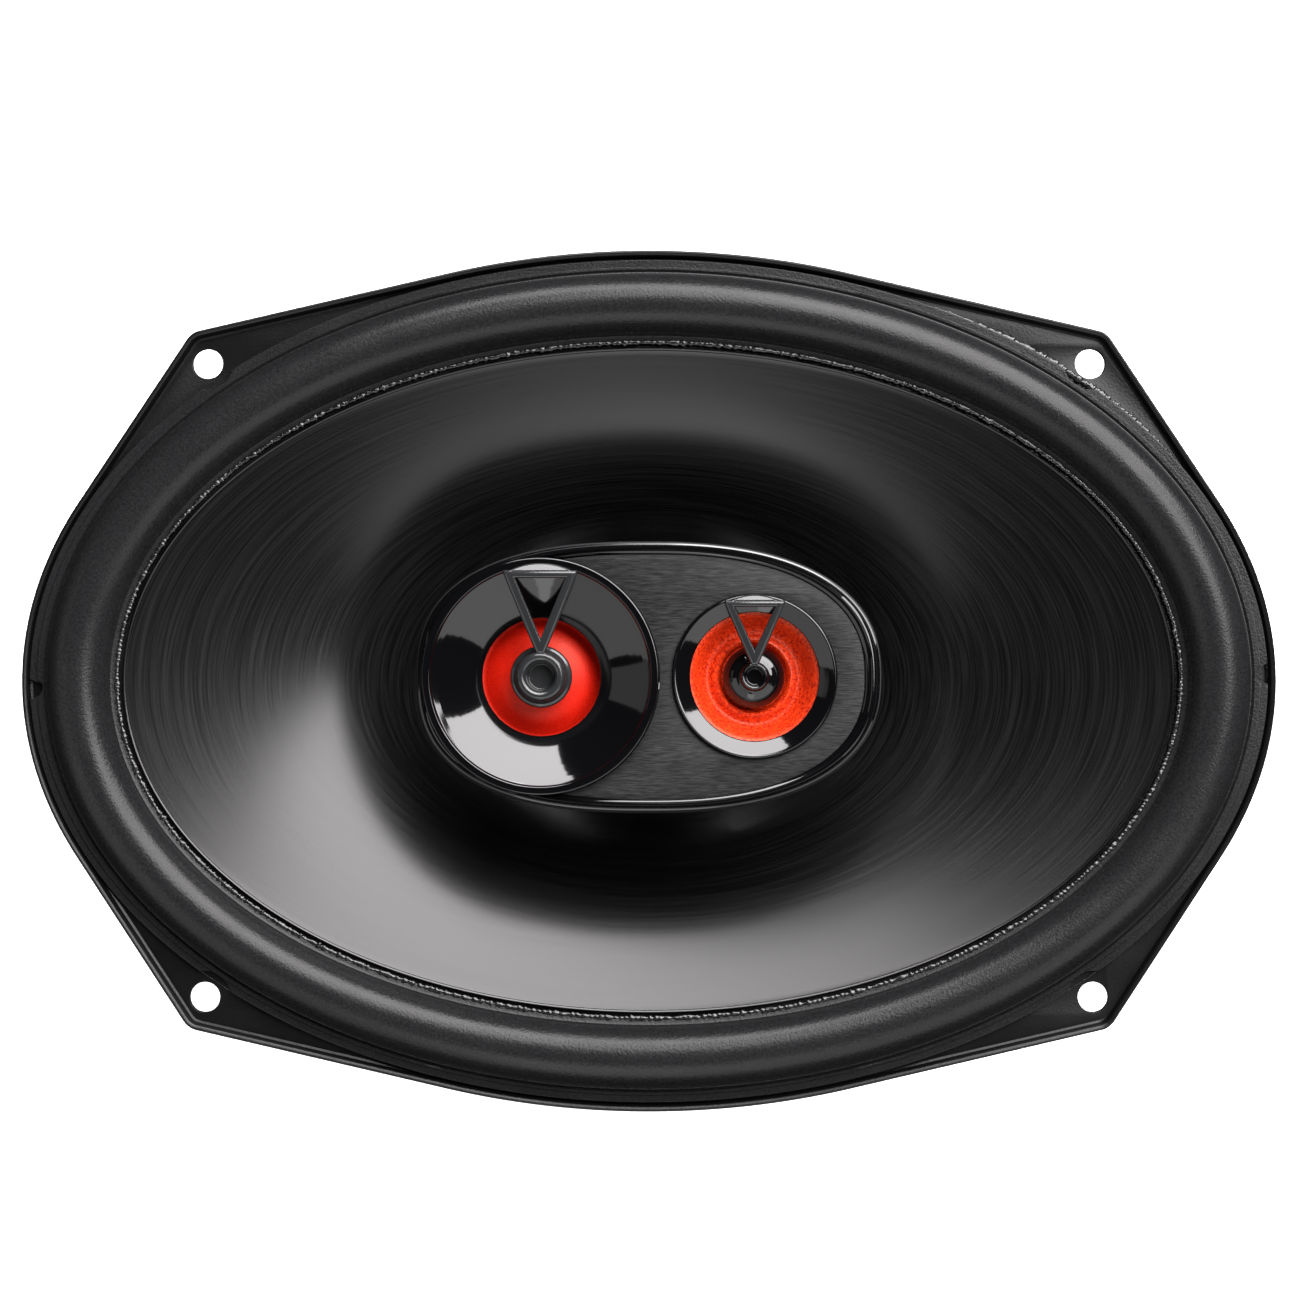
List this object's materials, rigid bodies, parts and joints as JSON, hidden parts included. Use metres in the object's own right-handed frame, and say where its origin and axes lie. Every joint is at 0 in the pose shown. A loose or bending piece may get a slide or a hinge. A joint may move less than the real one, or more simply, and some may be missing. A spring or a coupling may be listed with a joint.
{
  "type": "coaxial car speaker",
  "caption": "Oval coaxial car speaker with a stamped basket, moving cone and a fixed pod that holds a large and a small tweeter.",
  "frame": {"origin": "centre of the four mounting holes, on the back face of the flange", "axes": "+Z is the way the speaker faces, +X runs along the long axis with the small tweeter on the +X side, -Y is the side of the terminals"},
  "size_m": [0.23, 0.158, 0.1038],
  "materials": {
    "black_paint": "semi-matte black powder paint",
    "zinc_steel": "bright zinc plated steel",
    "surround_rubber": "satin black rubber",
    "cone_plastic": "dark grey moulded polypropylene with fine oval grain lines",
    "kapton": "amber polyimide film",
    "copper_wire": "enamelled copper winding",
    "spider_cloth": "resin-treated corrugated cloth",
    "zinc_plate": "zinc plated steel",
    "ferrite": "dark sintered ferrite",
    "post_plastic": "black moulded plastic",
    "fibre_board": "brown phenolic board",
    "brass_tab": "bright brass",
    "tinned_tab": "tin plated brass",
    "tinsel": "braided copper tinsel",
    "red_insulation": "red wire insulation",
    "black_insulation": "black wire insulation",
    "pod_plastic": "gloss black plastic",
    "gloss_black": "high gloss black plastic",
    "brushed_plate": "dark grey plastic with a fine brushed texture",
    "red_film": "capacitor case",
    "blue_film": "capacitor case",
    "bridge_plastic": "satin dark grey plastic",
    "red_film_dome": "satin red film",
    "nickel_magnet": "nickel plated magnet",
    "red_cone": "orange-red coated film with a fine texture"
  },
  "bodies": {
    "frame": {"basket": "black_paint", "plate_rivets": "zinc_steel", "surround": "surround_rubber", "spider": "spider_cloth", "top_plate": "zinc_plate", "magnet": "ferrite", "yoke": "zinc_plate", "post": "post_plastic", "post_nut": "zinc_steel", "terminal_board": "fibre_board", "terminal_positive": "brass_tab", "terminal_negative": "tinned_tab", "terminal_rivets": "tinned_tab", "board_rivet": "zinc_steel", "lead_positive": "tinsel", "lead_negative": "tinsel", "feed_positive": "red_insulation", "feed_negative": "black_insulation", "pod_shell": "pod_plastic", "pod_bezel": "gloss_black", "face_plate": "brushed_plate", "capacitor_left": "red_film", "capacitor_right": "blue_film", "left_horn": "gloss_black", "left_bridge": "bridge_plastic", "left_retainer": "post_plastic", "left_pole_plate": "zinc_plate", "left_magnet": "nickel_magnet", "left_cup": "zinc_plate", "right_ring": "gloss_black", "right_bridge": "bridge_plastic", "right_retainer": "post_plastic", "right_pole_plate": "zinc_plate", "right_magnet": "nickel_magnet", "right_cup": "zinc_plate"},
    "cone_assembly": {"cone": "cone_plastic", "former": "kapton", "winding": "copper_wire"},
    "left_dome": {"left_diaphragm": "red_film_dome", "left_coil": "copper_wire"},
    "right_dome": {"right_diaphragm": "red_cone", "right_coil": "copper_wire"}
  },
  "joints": [
    {"name": "cone_travel", "type": "slide", "parent": "frame", "child": "cone_assembly", "axis": [0, 0, 1], "range_m": [-0.004, 0.004], "stiffness_N_per_m": 2000, "deforming": ["surround", "spider", "lead_positive", "lead_negative"]},
    {"name": "left_dome_travel", "type": "slide", "parent": "frame", "child": "left_dome", "axis": [0, 0, 1], "range_m": [-0.00025, 0.00025], "stiffness_N_per_m": 100},
    {"name": "right_dome_travel", "type": "slide", "parent": "frame", "child": "right_dome", "axis": [0, 0, 1], "range_m": [-0.00025, 0.00025], "stiffness_N_per_m": 100}
  ]
}
